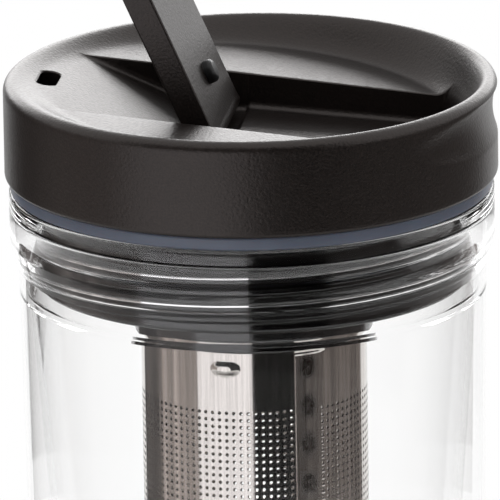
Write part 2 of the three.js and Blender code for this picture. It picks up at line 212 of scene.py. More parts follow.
def makeBlackPlastic():
    look = blackPlastic
    material, tree, shader, place = startMaterial(
        "black moulded polypropylene",
        IOR=1.49,
        Specular_IOR_Level=0.56,
        Specular_Tint=linear(look["mirror"]),
    )
    grain = addNode(tree, "TexNoise", {"Vector": place, "Scale": grainScale(look["grain"]), "Detail": 2})
    speck = addNode(tree, "TexNoise", {"Vector": place, "Scale": grainScale(look["speck"]), "Detail": 1})
    tint = addNode(tree, "ValToRGB", {"Fac": speck.outputs["Fac"]})
    for end, position, shade in ((0, "darkBelow", "dark"), (1, "lightAbove", "light")):
        tint.color_ramp.elements[end].position = look[position]
        tint.color_ramp.elements[end].color = linear(look[shade])
    gloss = addNode(
        tree, "MapRange",
        {"Value": grain.outputs["Fac"], "To Min": look["smoothest"], "To Max": look["roughest"]},
    )
    relief = addNode(
        tree, "Bump", {"Height": grain.outputs["Fac"], "Strength": 1, "Distance": look["depth"] * mm}
    )
    tree.links.new(tint.outputs["Color"], shader.inputs["Base Color"])
    tree.links.new(gloss.outputs["Result"], shader.inputs["Roughness"])
    tree.links.new(relief.outputs["Normal"], shader.inputs["Normal"])
    return material


# The same plastic from a polished tool: deep black, with clear-edged reflections that waver a little.
glossBlack = {
    "dark": "#0c0a0a",
    "light": "#131010",
    "cloud": 5,
    "smoothest": 0.1,
    "roughest": 0.18,
    "depth": 0.01,
    "relief": 0.3,
}


def makeGlossBlack():
    look = glossBlack
    material, tree, shader, place = startMaterial(
        "black polished polypropylene", IOR=1.6, Specular_IOR_Level=0.8
    )
    cloud = addNode(tree, "TexNoise", {"Vector": place, "Scale": grainScale(look["cloud"])})
    tint = addNode(tree, "ValToRGB", {"Fac": cloud.outputs["Fac"]})
    tint.color_ramp.elements[0].color = linear(look["dark"])
    tint.color_ramp.elements[1].color = linear(look["light"])
    gloss = addNode(
        tree, "MapRange",
        {"Value": cloud.outputs["Fac"], "To Min": look["smoothest"], "To Max": look["roughest"]},
    )
    relief = addNode(
        tree, "Bump",
        {"Height": cloud.outputs["Fac"], "Strength": look["relief"], "Distance": look["depth"] * mm},
    )
    tree.links.new(tint.outputs["Color"], shader.inputs["Base Color"])
    tree.links.new(gloss.outputs["Result"], shader.inputs["Roughness"])
    tree.links.new(relief.outputs["Normal"], shader.inputs["Normal"])
    return material


# Injection-moulded clear styrene-acrylonitrile: glass-like, with a faint waviness left by the flow.
# Its mirror part is held low, so that four walls in a row still look clear.
clearPlastic = {
    "body": "#ffffff",
    "mirror": "#8c8c8c",
    "wave": 30,
    "smoothest": 0,
    "roughest": 0.03,
    "depth": 0.012,
    "relief": 0.3,
}


def makeClearPlastic():
    look = clearPlastic
    material, tree, shader, place = startMaterial(
        "clear moulded SAN",
        IOR=1.34,
        Transmission_Weight=1,
        Base_Color=linear(look["body"]),
        Specular_Tint=linear(look["mirror"]),
    )
    wave = addNode(tree, "TexNoise", {"Vector": place, "Scale": grainScale(look["wave"]), "Detail": 1})
    gloss = addNode(
        tree, "MapRange",
        {"Value": wave.outputs["Fac"], "To Min": look["smoothest"], "To Max": look["roughest"]},
    )
    relief = addNode(
        tree, "Bump",
        {"Height": wave.outputs["Fac"], "Strength": look["relief"], "Distance": look["depth"] * mm},
    )
    tree.links.new(gloss.outputs["Result"], shader.inputs["Roughness"])
    tree.links.new(relief.outputs["Normal"], shader.inputs["Normal"])
    return material


# Compression-moulded silicone rubber: satin and slightly see-through,
# so its edges look paler than its body.
greySilicone = {"body": "#565c6b", "pale": "#646a79", "cloud": 6, "bleed": 1.5}


def makeGreySilicone():
    look = greySilicone
    material, tree, shader, place = startMaterial(
        "grey moulded silicone",
        IOR=1.43,
        Roughness=0.36,
        Subsurface_Weight=0.35,
        Subsurface_Scale=look["bleed"] * mm,
    )
    cloud = addNode(tree, "TexNoise", {"Vector": place, "Scale": grainScale(look["cloud"])})
    tint = addNode(tree, "ValToRGB", {"Fac": cloud.outputs["Fac"]})
    tint.color_ramp.elements[0].color = linear(look["body"])
    tint.color_ramp.elements[1].color = linear(look["pale"])
    tree.links.new(tint.outputs["Color"], shader.inputs["Base Color"])
    return material


# Black silicone, moulded in a polished tool: smoother and softer in its highlights than the plastic.
softBlack = {"dark": "#161616", "light": "#1e1e1f", "cloud": 3, "smoothest": 0.34, "roughest": 0.46}


def makeSoftBlack():
    look = softBlack
    material, tree, shader, place = startMaterial("black moulded silicone", IOR=1.43)
    cloud = addNode(tree, "TexNoise", {"Vector": place, "Scale": grainScale(look["cloud"])})
    tint = addNode(tree, "ValToRGB", {"Fac": cloud.outputs["Fac"]})
    tint.color_ramp.elements[0].color = linear(look["dark"])
    tint.color_ramp.elements[1].color = linear(look["light"])
    gloss = addNode(
        tree, "MapRange",
        {"Value": cloud.outputs["Fac"], "To Min": look["smoothest"], "To Max": look["roughest"]},
    )
    tree.links.new(tint.outputs["Color"], shader.inputs["Base Color"])
    tree.links.new(gloss.outputs["Result"], shader.inputs["Roughness"])
    return material


# Bright-rolled stainless sheet: mirror-like, with faint streaks along the way it was polished,
# and browned and dulled where a spot weld heated it.
steel = {
    "bright": "#e8e4e0",
    "dull": "#bcb5af",
    "weld": "#2e211a",
    "streakWidth": 0.4,
    "streakLength": 25,
    "blot": 1.1,
    "palestBlot": 0.6,
    "darkestBlot": 1.2,
    "smoothest": 0.06,
    "roughest": 0.14,
    "weldRoughness": 0.2,
    "depth": 0.006,
    "relief": 0.25,
}


def makeSteel():
    look = steel
    material, tree, shader, place = startMaterial("bright rolled stainless steel", Metallic=1)
    across, along = grainScale(look["streakWidth"]), grainScale(look["streakLength"])
    stretch = addNode(tree, "Mapping", {"Vector": place, "Scale": (across, across, along)})
    streak = addNode(tree, "TexNoise", {"Vector": stretch.outputs["Vector"], "Scale": 1, "Detail": 2})
    tint = addNode(tree, "ValToRGB", {"Fac": streak.outputs["Fac"]})
    tint.color_ramp.elements[0].color = linear(look["dull"])
    tint.color_ramp.elements[1].color = linear(look["bright"])
    blot = addNode(tree, "TexNoise", {"Vector": place, "Scale": grainScale(look["blot"]), "Detail": 3})
    ragged = addNode(
        tree, "MapRange",
        {"Value": blot.outputs["Fac"], "To Min": look["palestBlot"], "To Max": look["darkestBlot"]},
    )
    weld = addNode(tree, "Attribute", attribute_name="weld")
    heat = addNode(
        tree, "Math", {0: weld.outputs["Fac"], 1: ragged.outputs["Result"]},
        operation="MULTIPLY", use_clamp=True,
    )
    shade = addNode(
        tree, "Mix", {0: heat.outputs[0], 6: tint.outputs["Color"], 7: linear(look["weld"])},
        data_type="RGBA",
    )
    gloss = addNode(
        tree, "MapRange",
        {"Value": streak.outputs["Fac"], "To Min": look["smoothest"], "To Max": look["roughest"]},
    )
    dulled = addNode(
        tree, "Math", {0: heat.outputs[0], 1: look["weldRoughness"], 2: gloss.outputs["Result"]},
        operation="MULTIPLY_ADD",
    )
    relief = addNode(
        tree, "Bump",
        {"Height": streak.outputs["Fac"], "Strength": look["relief"], "Distance": look["depth"] * mm},
    )
    tree.links.new(shade.outputs[2], shader.inputs["Base Color"])
    tree.links.new(dulled.outputs[0], shader.inputs["Roughness"])
    tree.links.new(relief.outputs["Normal"], shader.inputs["Normal"])
    return material


blackMoulded = makeBlackPlastic()
blackGloss = makeGlossBlack()
clearMoulded = makeClearPlastic()
greySeal = makeGreySilicone()
blackSoft = makeSoftBlack()
brightSteel = makeSteel()
print("materials made")

# Screw lid. Heights in its code are in mm from the top of the rim, and negative below it.
lidLow, lidHigh = boxMm("lid_cap")
lidTop = lidHigh.z
pivot = next(Vector(j["pos_m"]) / mm for j in frame["joints"] if j["name"] == "lever_pivot")
lid = {
    "radius": lidHigh.x,
    "height": lidHigh.z - lidLow.z,
    "bowl": 39.5,
    "wallFoot": 34.5,
    "wallCurl": 1.3,
    "crest": 41.2,
    "rimRound": 1.8,
    "hemRound": 0.7,
    "skirtWall": 2.5,
    "skirtDepth": 1.8,
    "plateDrop": 0.92,
    "plateSlope": math.radians(5.4),
    "floorDrop": 8.07,
    "floorSlope": math.radians(4),
    "channelHalf": 17.2,
    "channelEnd": 35.2,
    "channelRunOut": 2.4,
    "wallFillet": 1.4,
    "wallEdge": 0.45,
    "landAngle": math.radians(8),
    "rampAngle": math.radians(24),
    "rampStart": -31.8,
    "rampBend": 0.8,
    "slotX": -35.4,
    "slotDrop": 1.16,
    "slotWidth": 3.6,
    "slotLength": 8.8,
    "slotFlare": 0.2,
    "slotCutAbove": 0.6,
    "slotCutBelow": 18,
    "pocketLeft": pivot.x - 4.5,
    "pocketRight": pivot.x + 3.7,
    "pocketDepth": lidTop - pivot.z + 3.5,
    "pocketEdge": 0.4,
    "dimpleX": pivot.x + 7.9,
    "dimpleRadius": 2.7,
    "dimpleDepth": 1.6,
    "dimpleRound": 0.8,
    "dimpleCutAbove": 1,
    "gripDepth": 0.9,
    "gripHeight": 9.5,
    "gripDrop": 5.7,
    "gripSweep": 46,
    "gripEdge": 0.12,
    # how closely its rings and rows of edges lie, in mm, degrees and counts
    "turnSteps": 240,
    "deckStep": 1.6,
    "deckRings": 21,
    "footStep": 0.8,
    "wallRings": 24,
    "rimRings": 8,
    "gripStep": 0.3,
    "gripRings": 33,
    "skirtFrom": 12,
    "skirtStep": 1.2,
    "skirtRings": 3,
    "hemRings": 4,
    "filletTurn": 15,
    "filletRows": 6,
    "wallRows": (-0.004, 0.05),
    "edgeTurn": 25,
    "edgeRows": 3,
    "edgeOffset": 0.07,
    "plateOffset": 1,
    "pocketRows": (-0.4, -0.25, -0.1, 0.05, 0.2, 0.4),
    "flat": 0.001,
    "cutSnap": 0.0001,
}


def plateHeight(x):
    return -lid["plateDrop"] - math.tan(lid["plateSlope"]) * (x + lid["bowl"])


def floorHeight(x):
    return -lid["floorDrop"] - math.tan(lid["floorSlope"]) * (x + lid["bowl"])


# a landing round the slot, which bends down into the ramp
def rampHeight(x):
    landing = -lid["slotDrop"] - math.tan(lid["landAngle"]) * (x - lid["slotX"])
    bend = -lid["slotDrop"] - math.tan(lid["landAngle"]) * (lid["rampStart"] - lid["slotX"])
    ramp = bend - math.tan(lid["rampAngle"]) * (x - lid["rampStart"])
    return softMin(landing, ramp, lid["rampBend"])


def channelHeight(x):
    edge = lid["pocketEdge"]
    pocket = -lid["pocketDepth"]
    if x < (lid["pocketLeft"] + lid["pocketRight"]) / 2:
        return rampHeight(x) + (pocket - rampHeight(x)) * smooth(-edge, edge, x - lid["pocketLeft"])
    return pocket + (floorHeight(x) - pocket) * smooth(-edge, edge, x - lid["pocketRight"])


def filletRise(fromWall, radius):
    if fromWall >= radius:
        return 0
    return radius - math.sqrt(max(0, radius ** 2 - (radius - fromWall) ** 2))


# the inner wall sweeps up to the crest: 0 at its foot, 1 at the crest
def wallShare(reach):
    along = min(1, max(0, (reach - lid["wallFoot"]) / (lid["crest"] - lid["wallFoot"])))
    return smooth(0, 1, along ** lid["wallCurl"])


def deckHeight(x, y):
    reach = math.hypot(x, y)
    plate, floor = plateHeight(x), channelHeight(x)
    floor += (plate - floor) * smooth(lid["channelEnd"], lid["channelEnd"] + lid["channelRunOut"], reach)
    outside = abs(y) - lid["channelHalf"]
    rise = plate - floor
    fillet, edge = lid["wallFillet"], lid["wallEdge"]
    part = min(1, rise / (fillet + edge))
    if rise < 0:
        height = floor + rise * smooth(-fillet, 2 * edge, outside)
    elif outside < 0:
        height = floor + part * filletRise(-outside, fillet)
    else:
        height = plate - part * filletRise(outside, edge)
    return height * (1 - wallShare(reach))


# the finger groove: a hollow tube swept round outside the lid, which bites into its right-hand side
def gripRadius(x, y, height):
    tube = (lid["gripHeight"] ** 2 / 4 + lid["gripDepth"] ** 2) / (2 * lid["gripDepth"])
    rise = height + lid["gripDrop"]
    if abs(rise) >= tube or x < 0:
        return lid["radius"]
    offset = lid["gripSweep"] + lid["gripDepth"] - lid["radius"]
    turn = math.atan2(y, x)
    sweep = math.sqrt(lid["gripSweep"] ** 2 - (offset * math.sin(turn)) ** 2) - offset * math.cos(turn)
    return softMin(lid["radius"], sweep + tube - math.sqrt(tube ** 2 - rise ** 2), lid["gripEdge"])


def lidOutline():
    radius, height, crest = lid["radius"], lid["height"], lid["crest"]
    foot, rimRound, hem = lid["wallFoot"], lid["rimRound"], lid["hemRound"]
    rings = [lid["deckStep"] * k for k in range(lid["deckRings"])] + [foot - lid["footStep"]]
    rings += [foot + (crest - foot) * k / lid["wallRings"] for k in range(lid["wallRings"] + 1)]
    outline = [(ring, 0) for ring in rings]
    for k in range(1, lid["rimRings"] + 1):
        lean = math.radians(90 * k / lid["rimRings"])
        outline.append((crest + rimRound * math.sin(lean), rimRound * (math.cos(lean) - 1)))
    outline += [(radius, -rimRound - lid["gripStep"] * k) for k in range(1, lid["gripRings"] + 1)]
    outline += [(radius, -lid["skirtFrom"] - lid["skirtStep"] * k) for k in range(1, lid["skirtRings"] + 1)]
    for k in range(lid["hemRings"] + 1):
        lean = math.radians(90 * k / lid["hemRings"])
        outline.append((radius - hem + hem * math.cos(lean), hem - height - hem * math.sin(lean)))
    skirt, ceiling = radius - lid["skirtWall"], lid["skirtDepth"] - height
    return outline + [(skirt, -height), (skirt, ceiling), (0, ceiling)]


# straight rows of edges where the channel's walls and the pocket's edges run
def lidRows():
    half, fillet, edge = lid["channelHalf"], lid["wallFillet"], lid["wallEdge"]
    turns = [math.radians(lid["filletTurn"] * k) for k in range(lid["filletRows"])]
    rows = [half - fillet + fillet * math.sin(turn) for turn in turns]
    rows += [half + offset for offset in lid["wallRows"]]
    turns = [math.radians(lid["edgeTurn"] * k) for k in range(1, lid["edgeRows"] + 1)]
    rows += [half + edge - edge * math.cos(turn) + lid["edgeOffset"] for turn in turns]
    rows.append(half + lid["plateOffset"])
    cuts = [((0, side * row, 0), (0, 1, 0)) for side in (-1, 1) for row in rows]
    for end in ("pocketLeft", "pocketRight"):
        cuts += [((lid[end] + offset, 0, 0), (1, 0, 0)) for offset in lid["pocketRows"]]
    return cuts


def makeLidCap():
    flat = lid["flat"]
    bm = spun(lidOutline(), lid["turnSteps"], closed=False)
    for place, normal in lidRows():
        deck = [f for f in bm.faces if all(v.co.z > -flat for v in f.verts)]
        parts = {v for f in deck for v in f.verts} | {e for f in deck for e in f.edges}
        geom = deck + list(parts)
        bmesh.ops.bisect_plane(bm, geom=geom, dist=lid["cutSnap"], plane_co=place, plane_no=normal)
    for v in bm.verts:
        reach = math.hypot(v.co.x, v.co.y)
        if v.co.z > -flat and reach < lid["crest"] + flat:
            v.co.z = deckHeight(v.co.x, v.co.y)
        elif reach > lid["radius"] - onWall:
            wanted = gripRadius(v.co.x, v.co.y, v.co.z)
            v.co.x *= wanted / reach
            v.co.y *= wanted / reach
    bmesh.ops.translate(bm, vec=(0, 0, lidTop), verts=bm.verts)
    return addPiece("lidCap", bm, "lid", ["lid_cap"], blackMoulded)


# a long round-ended block, long in Y, flared at its top end
def roundEnded(width, length, low, high, flare=0, flareDepth=0.5):
    bm = bmesh.new()
    bmesh.ops.create_circle(bm, segments=roundSteps, radius=width / 2)
    for v in bm.verts:
        v.co.y += math.copysign((length - width) / 2, v.co.y)
        v.co.z = low
    rim = bm.edges[:]
    ends = rim[:]
    for level, grow in ((high - flareDepth, 0), (high, flare)):
        lifted = bmesh.ops.extrude_edge_only(bm, edges=rim)["geom"]
        rim = [g for g in lifted if isinstance(g, bmesh.types.BMEdge)]
        for v in {v for e in rim for v in e.verts}:
            v.co.z = level
            v.co.x *= 1 + 2 * grow / width
            v.co.y *= 1 + 2 * grow / length
    bmesh.ops.edgeloop_fill(bm, edges=ends)
    bmesh.ops.edgeloop_fill(bm, edges=rim)
    bmesh.ops.recalc_face_normals(bm, faces=bm.faces)
    return bm


def makeSlotCutter():
    flare = lid["slotFlare"] + lid["slotCutAbove"]  # widens as much as it rises
    bm = roundEnded(
        lid["slotWidth"], lid["slotLength"], -lid["slotCutBelow"], lid["slotCutAbove"], flare, flare
    )
    bmesh.ops.transform(bm, matrix=Matrix.Rotation(lid["landAngle"], 4, "Y"), verts=bm.verts)
    bmesh.ops.translate(bm, vec=(lid["slotX"], 0, lidTop - lid["slotDrop"]), verts=bm.verts)
    return newObject("slotCutter", bm)


def makeDimpleCutter():
    radius, depth, above = lid["dimpleRadius"], lid["dimpleDepth"], lid["dimpleCutAbove"]
    corners = [(0, -depth, 0), (radius, -depth, lid["dimpleRound"]), (radius, above, 0), (0, above, 0)]
    bm = spun(roundedOutline(corners), roundSteps, closed=False)
    height = lidTop + floorHeight(lid["dimpleX"])
    bmesh.ops.translate(bm, vec=(lid["dimpleX"], 0, height), verts=bm.verts)
    return newObject("dimpleCutter", bm)


lidCap = makeLidCap()
cutAway(lidCap, [makeSlotCutter(), makeDimpleCutter()])
evenShading(lidCap)
print("lid cap cut")

# Flip lever, drawn upright on its pivot and then leaned back with its stud and stopper
leverLow, leverHigh = boxMm("lever")
lever = {
    "thickness": 4.8,
    "width": leverHigh.y - leverLow.y,
    "length": 37.53,
    "heel": 2.85,
    "heelTop": 0.7,
    "heelSteps": 24,
    "heelFull": 0.2,
    "heelFadeFrom": 0.3,
    "heelFadeTo": 0.9,
    "corner": 9,
    "cornerSteps": 14,
    "edge": 0.45,
    "edgeSteps": 3,
    "lean": math.radians(-24),
    "studAlong": 7.9,
    "studRadius": 2.1,
    "studReach": 1.7,
    "studSink": 0.4,
    "studRound": 0.9,
    "stopperAlong": 30.42,
    "stopperSink": 0.8,
    "stopperFlange": 2.2,
    "stopperNose": 2.4,
    "stopperMargin": 0.9,
    "stopperPlay": 0.6,
    "stopperEdge": 0.35,
    "closedSlope": math.radians(22),
}
leverPlace = Matrix.Translation(pivot) @ Matrix.Rotation(lever["lean"], 4, "Y")


def makeLever():
    half, heel, length = lever["thickness"] / 2, lever["heel"], lever["length"]
    bm = bmesh.new()
    outline = [(-half, length), (half, length), (half, lever["heelTop"])]
    for k in range(lever["heelSteps"] + 1):
        share = k / lever["heelSteps"]
        turn = math.pi * (0.5 + share)
        swell = smooth(0, lever["heelFull"], share)
        swell *= 1 - smooth(lever["heelFadeFrom"], lever["heelFadeTo"], share)
        reach = half + (heel - half) * swell
        outline.append((reach * math.sin(turn), reach * math.cos(turn)))
    verts = [bm.verts.new((x, -lever["width"] / 2, z)) for x, z in outline]
    side = bmesh.ops.contextual_create(bm, geom=verts)["faces"]
    pulled = bmesh.ops.extrude_face_region(bm, geom=side)["geom"]
    far = [g for g in pulled if isinstance(g, bmesh.types.BMVert)]
    bmesh.ops.translate(bm, vec=(0, lever["width"], 0), verts=far)
    bmesh.ops.recalc_face_normals(bm, faces=bm.faces)
    tips = [e for e in bm.edges if all(v.co.z > length - onWall for v in e.verts)]
    corners = [e for e in tips if abs(e.verts[0].co.y - e.verts[1].co.y) < onWall]
    bevelEdges(bm, corners, lever["corner"], lever["cornerSteps"])
    sharp = [e for e in bm.edges if e.is_manifold and e.is_convex and e.calc_face_angle() > sharpBend]
    bevelEdges(bm, sharp, lever["edge"], lever["edgeSteps"])
    bmesh.ops.transform(bm, matrix=leverPlace, verts=bm.verts)
    evenShading(addPiece("leverBlade", bm, "lever", ["lever"], blackMoulded))


def makeKeeperStud():
    half, radius = lever["thickness"] / 2, lever["studRadius"]
    low, high = half - lever["studSink"], half + lever["studReach"]
    corners = [(0, low, 0), (radius, low, 0), (radius, high, lever["studRound"]), (0, high, 0)]
    bm = spun(roundedOutline(corners), roundSteps, closed=False)
    onFace = Matrix.Translation((0, 0, lever["studAlong"])) @ Matrix.Rotation(math.pi / 2, 4, "Y")
    bmesh.ops.transform(bm, matrix=leverPlace @ onFace, verts=bm.verts)
    addPiece("keeperStud", bm, "lever", ["keeper_stud"], blackSoft)


def makeSipStopper():
    half, margin, play = lever["thickness"] / 2, lever["stopperMargin"], lever["stopperPlay"]
    width, length = lid["slotWidth"] + 2 * margin, lid["slotLength"] + 2 * margin
    bm = roundEnded(width, length, half - lever["stopperSink"], half + lever["stopperFlange"])
    top = max(bm.faces, key=lambda f: f.calc_center_median().z)
    bmesh.ops.inset_region(bm, faces=[top], thickness=margin + play)
    lifted = bmesh.ops.extrude_face_region(bm, geom=[top])["geom"]
    verts = [g for g in lifted if isinstance(g, bmesh.types.BMVert)]
    bmesh.ops.delete(bm, geom=[top], context="FACES_ONLY")
    bmesh.ops.translate(bm, vec=(0, 0, lever["stopperNose"]), verts=verts)
    bmesh.ops.recalc_face_normals(bm, faces=bm.faces)
    sharp = [e for e in bm.edges if e.is_manifold and e.calc_face_angle() > sharpBend]
    bevelEdges(bm, sharp, lever["stopperEdge"], lever["edgeSteps"])
    tip = lid["landAngle"] - lever["closedSlope"]  # square to the landing when the lever is closed
    onBack = Matrix.Translation((0, 0, lever["stopperAlong"])) @ Matrix.Rotation(tip - math.pi / 2, 4, "Y")
    bmesh.ops.transform(bm, matrix=leverPlace @ onBack, verts=bm.verts)
    addPiece("sipStopper", bm, "lever", ["sip_stopper"], blackSoft)


makeLever()
makeKeeperStud()
makeSipStopper()
# the pin keeps its solid and only gets its finish
frame["nodes"]["lever_pin"].data.materials.clear()
frame["nodes"]["lever_pin"].data.materials.append(brightSteel)
print("lever made")

# Threaded plug under the lid, and the ridges of both threads
plugLow, plugHigh = boxMm("lid_plug")
plug = {
    "radius": 36.7,
    "wall": 2.2,
    "flange": plugHigh.x,
    "flangeHeight": 1.6,
    "flangeEdge": 0.2,
    "socket": 23.8,
    "bore": 20.9,
    "web": 2,
    "socketTop": plugLow.z + 8.6,
    "edge": 0.3,
    "fillet": 0.8,
    "filletSteps": 3,
    "threadFrom": 0.9,
    "threadTo": 12.8,
    "windowArc": math.radians(56),
    "windowRim": 1.2,
    "windowCutBelow": 1,
    "windowCutAbove": 3,
    "windowSteps": 20,
    "windows": 4,
    "steps": 180,
}
thread = {
    "depth": 0.9,
    "pitch": 4.5,
    "turns": 2,
    "root": 2.2,
    "crest": 0.6,
    "play": 0.4,
    "runOut": 0.1,
    "rise": 2,
    "start": math.radians(169),
    "rowStep": 0.1,
}


# how far a right-hand ridge stands at one place on the wall, with its middle at firstHeight where it starts
def ridgeHeight(x, y, height, firstHeight):
    turn = (math.atan2(y, x) - thread["start"]) % fullTurn / fullTurn
    best = 0
    for whole in range(thread["turns"] + 1):
        along = turn + whole
        if along > thread["turns"]:
            continue
        away = abs(height - firstHeight - along * thread["pitch"])
        flank = 1 - smooth(thread["crest"] / 2, thread["root"] / 2, away)
        toEnd = min(along, thread["turns"] - along)
        best = max(best, flank * smooth(0, thread["runOut"], toEnd))
    return best * thread["depth"]


def raiseThread(bm, wallRadius, side, firstHeight):
    for v in bm.verts:
        reach = math.hypot(v.co.x, v.co.y)
        if abs(reach - wallRadius) < onWall:
            wanted = reach + side * ridgeHeight(v.co.x, v.co.y, v.co.z, firstHeight)
            v.co.x *= wanted / reach
            v.co.y *= wanted / reach
    bmesh.ops.recalc_face_normals(bm, faces=bm.faces)


def levels(radius, low, high, step):
    count = max(1, round(abs(high - low) / step))
    return [(radius, low + (high - low) * k / count, 0) for k in range(count + 1)]


def makeWindowCutter(turn, near, far):
    bm = bmesh.new()
    low, high = plugLow.z - plug["windowCutBelow"], plugLow.z + plug["windowCutAbove"]
    section = [bm.verts.new(c) for c in ((near, 0, low), (far, 0, low), (far, 0, high), (near, 0, high))]
    face = bm.faces.new(section)
    first = Matrix.Rotation(turn - plug["windowArc"] / 2, 4, "Z")
    bmesh.ops.transform(bm, matrix=first, verts=bm.verts)
    geom = [face] + face.edges[:] + section
    bmesh.ops.spin(bm, geom=geom, angle=plug["windowArc"], steps=plug["windowSteps"], **aroundAxis)
    bmesh.ops.recalc_face_normals(bm, faces=bm.faces)
    return newObject("windowCutter", bm)


def makeLidPlug():
    low, top = plugLow.z, lidLow.z
    radius, inner = plug["radius"], plug["radius"] - plug["wall"]
    edge, fillet = plug["edge"], plug["fillet"]
    corners = [(plug["bore"], low, edge), (radius, low, fillet)]
    corners += levels(radius, low + plug["threadFrom"], low + plug["threadTo"], thread["rowStep"])
    corners += [
        (radius, top, edge),
        (plug["flange"], top, plug["flangeEdge"]),
        (plug["flange"], top + plug["flangeHeight"], edge),
        (inner, top + plug["flangeHeight"], edge),
        (inner, low + plug["web"], fillet),
        (plug["socket"], low + plug["web"], fillet),
        (plug["socket"], plug["socketTop"], edge),
        (plug["bore"], plug["socketTop"], edge),
    ]
    bm = spun(roundedOutline(corners, plug["filletSteps"]), plug["steps"])
    raiseThread(bm, radius, 1, low + thread["rise"])
    piece = addPiece("lidPlug", bm, "lid", ["lid_plug"], blackGloss)
    near, far = plug["socket"] + plug["windowRim"], inner - plug["windowRim"]
    turns = [fullTurn * k / plug["windows"] for k in range(plug["windows"])]
    cutAway(piece, [makeWindowCutter(turn, near, far) for turn in turns])


makeLidPlug()

# Seal ring between the lid and the mouth: a flat washer with soft edges
sealLow, sealHigh = boxMm("lid_seal")
seal = {
    "inner": plug["radius"] + fitGap,
    "outer": sealHigh.x,
    "innerEdge": 0.4,
    "outerEdge": 0.5,
    "steps": 180,
}
sealOutline = roundedOutline([
    (seal["inner"], sealLow.z, seal["innerEdge"]),
    (seal["outer"], sealLow.z, seal["outerEdge"]),
    (seal["outer"], sealHigh.z, seal["outerEdge"]),
    (seal["inner"], sealHigh.z, seal["innerEdge"]),
])
addPiece("lidSeal", spun(sealOutline, seal["steps"]), "seal", ["lid_seal"], greySeal)

# Double-wall tumbler: two clear cups with air between them
shellHigh = boxMm("outer_shell")[1]
linerLow, linerHigh = boxMm("inner_liner")
tumbler = {
    "collar": shellHigh.x,
    "collarHeight": 5.5,
    "collarTaper": 5,
    "collarBend": 2,
    "collarEdge": 0.4,
    "waist": 40.8,
    "waistBend": 1.5,
    "draft": math.tan(math.radians(0.85)),
    "wall": 1.45,
    "floor": 2.4,
    "footRound": 3,
    "footWidth": 7,
    "footRecess": 0.8,
    "footEdge": 0.5,
    "seatDrop": 2.3,
    "seatStep": 0.35,
    "seatRamp": 0.5,
    "seatEdge": 0.1,
    "mouth": 39.05,
    "mouthEdge": 0.6,
    "bore": 37.9,
    "boreEdge": 0.3,
    "linerWall": 1.15,
    "linerFloor": 2,
    "linerRound": 5,
    "linerDraft": math.tan(math.radians(4.17)),
    "neckTop": plugLow.z - 1.1,
    "neckLength": 0.6,
    "neckStep": 0.35,
    "neckBend": 0.2,
    "threadDrop": 1.2,
    "threadEnd": 0.3,
    "steps": 192,
    "creaseAngle": math.radians(50),
}


def makeOuterShell():
    t = tumbler
    top = shellHigh.z
    collarFoot = top - t["collarHeight"]
    waistHeight = collarFoot - t["collarTaper"]
    foot = t["waist"] - t["draft"] * waistHeight
    bore = t["mouth"] + fitGap
    seat = plugLow.z - t["seatDrop"]
    ringInner = foot - t["footRound"] - t["footWidth"]
    corners = [
        (0, t["footRecess"], 0),
        (ringInner, t["footRecess"], t["footEdge"]),
        (ringInner + t["footRecess"], 0, t["footEdge"]),
        (foot, 0, t["footRound"]),
        (t["waist"], waistHeight, t["waistBend"]),
        (t["collar"], collarFoot, t["collarBend"]),
        (t["collar"], top, t["collarEdge"]),
        (bore, top, t["boreEdge"]),
        (bore, seat + t["seatRamp"], t["seatEdge"]),
        (bore + t["seatStep"], seat, t["seatEdge"]),
        (foot - t["wall"] + t["seatStep"], t["floor"], t["footRound"]),
        (0, t["floor"], 0),
    ]
    bm = spun(roundedOutline(corners), t["steps"], closed=False)
    crease = t["creaseAngle"]
    addPiece("outerShell", bm, "tumbler", ["outer_shell"], clearMoulded, crease)


def makeInnerLiner():
    t = tumbler
    seat, top, bottom = shellHigh.z, linerHigh.z, linerLow.z
    neckFoot = t["neckTop"] - t["neckLength"]
    neck = t["mouth"] - t["neckStep"]
    foot = neck - t["linerDraft"] * (neckFoot - bottom)
    corners = [
        (0, bottom, 0),
        (foot, bottom, t["linerRound"]),
        (neck, neckFoot, t["neckBend"]),
        (t["mouth"], t["neckTop"], t["neckBend"]),
        (t["mouth"], seat, t["boreEdge"]),
        (t["collar"], seat, t["collarEdge"]),
        (t["collar"], top, t["mouthEdge"]),
        (t["bore"], top, t["collarEdge"]),
    ]
    corners += levels(t["bore"], top - t["threadDrop"], t["neckTop"] + t["threadEnd"], thread["rowStep"])
    corners += [
        (neck - t["linerWall"], neckFoot, t["neckBend"]),
        (foot - t["linerWall"], bottom + t["linerFloor"], t["linerRound"] - t["linerWall"]),
        (0, bottom + t["linerFloor"], 0),
    ]
    bm = spun(roundedOutline(corners), t["steps"], closed=False)
    between = (thread["root"] + thread["crest"]) / 2 + thread["play"]  # from the plug's ridge to the liner's
    raiseThread(bm, t["bore"], -1, plugLow.z + thread["rise"] + between)
    crease = t["creaseAngle"]
    addPiece("innerLiner", bm, "tumbler", ["inner_liner"], clearMoulded, crease)


makeOuterShell()
makeInnerLiner()

